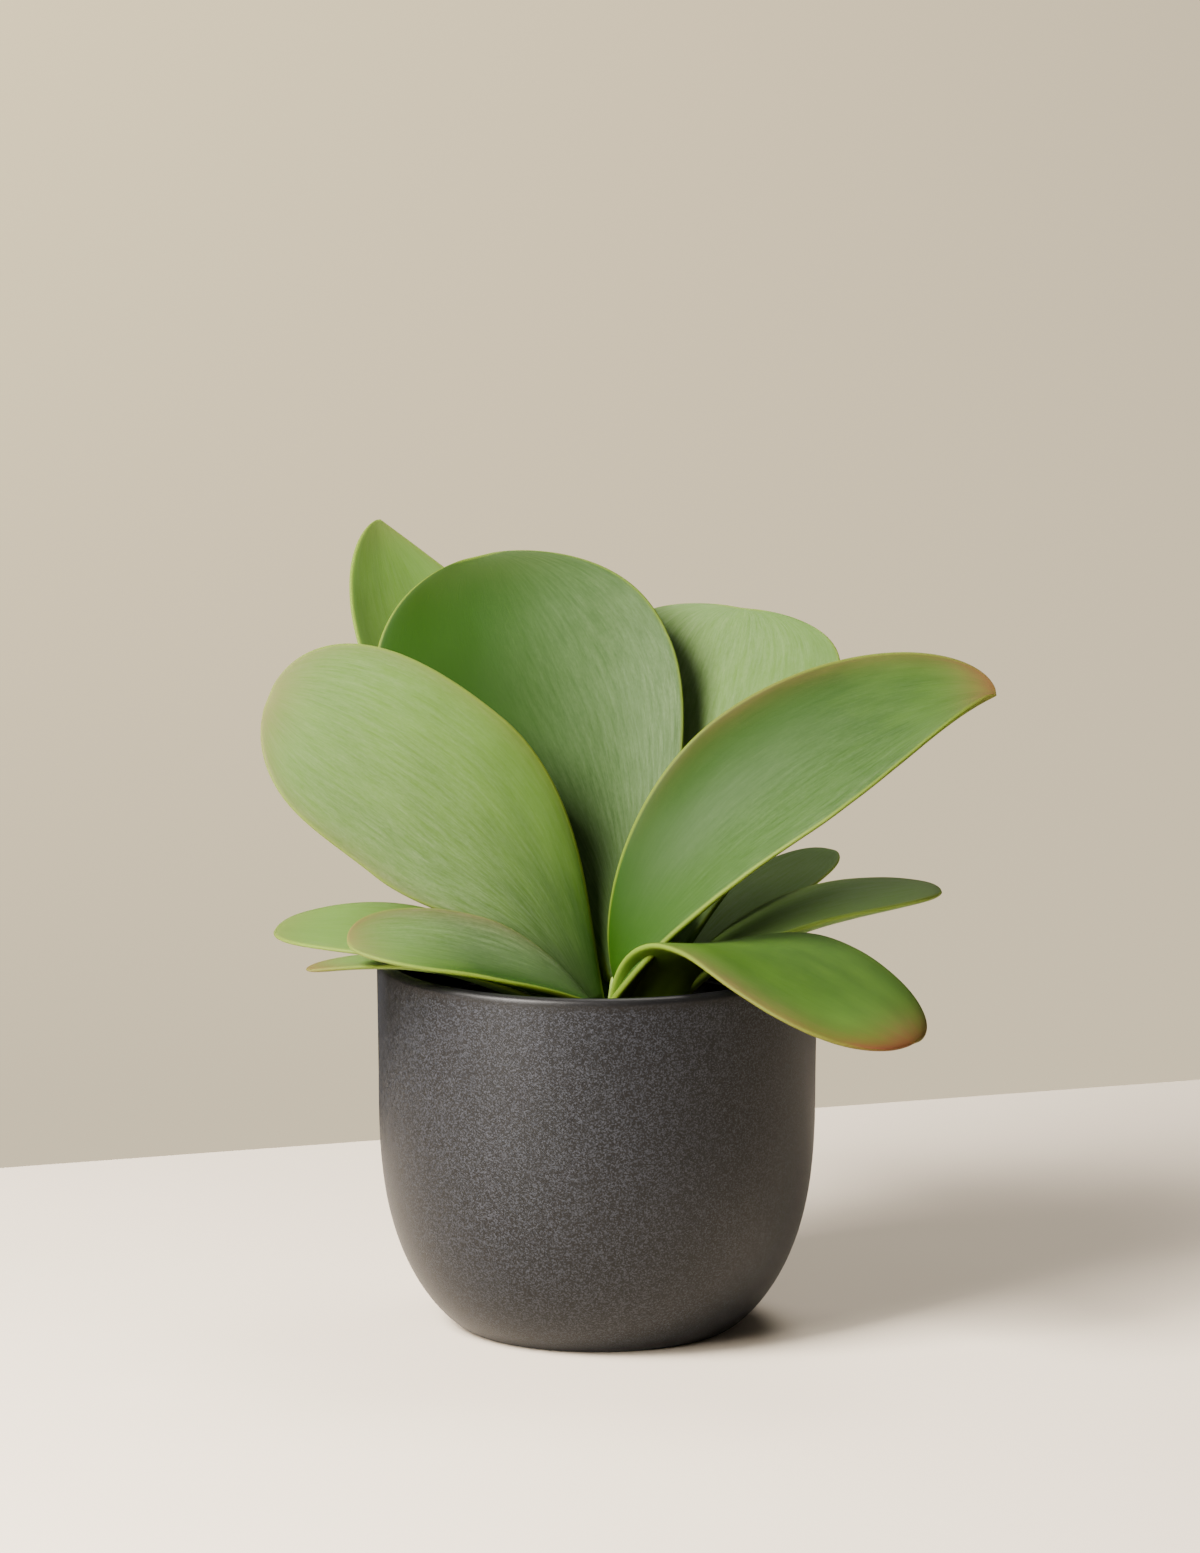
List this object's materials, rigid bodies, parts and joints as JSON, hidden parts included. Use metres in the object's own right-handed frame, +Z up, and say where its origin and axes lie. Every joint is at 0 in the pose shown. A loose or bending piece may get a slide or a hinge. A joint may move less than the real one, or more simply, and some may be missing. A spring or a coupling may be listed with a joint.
{
  "type": "potted paddle plant",
  "caption": "Potted kalanchoe: broad paddle-shaped succulent leaves on a short stem, in a grower's pot set inside a rounded matt black stoneware cover pot.",
  "frame": {"origin": "centre of the flat face that the pot stands on", "axes": "+Z up along the pot's axis; -Y is the front of the plant and +X its right side as seen from the front"},
  "size_m": [0.2111, 0.1771, 0.2221],
  "materials": {
    "charcoal_stoneware": "satin",
    "black_polypropylene": "matte",
    "peat_mix": "matte",
    "green_stem": "satin",
    "succulent_leaf": "satin"
  },
  "bodies": {
    "root": {"cover_pot": "charcoal_stoneware", "grower_pot": "black_polypropylene", "potting_mix": "peat_mix", "stem": "green_stem", "leaf_front_left": "succulent_leaf", "leaf_rear_centre": "succulent_leaf", "leaf_rear_left": "succulent_leaf", "leaf_rear_right": "succulent_leaf", "leaf_right": "succulent_leaf", "leaf_right_small": "succulent_leaf", "leaf_right_low": "succulent_leaf", "leaf_front_right": "succulent_leaf", "leaf_front_low": "succulent_leaf", "leaf_left_small": "succulent_leaf", "leaf_left_tiny": "succulent_leaf", "leaf_bud": "succulent_leaf", "leaf_rear_low": "succulent_leaf", "leaf_rear_low_left": "succulent_leaf"}
  },
  "joints": []
}
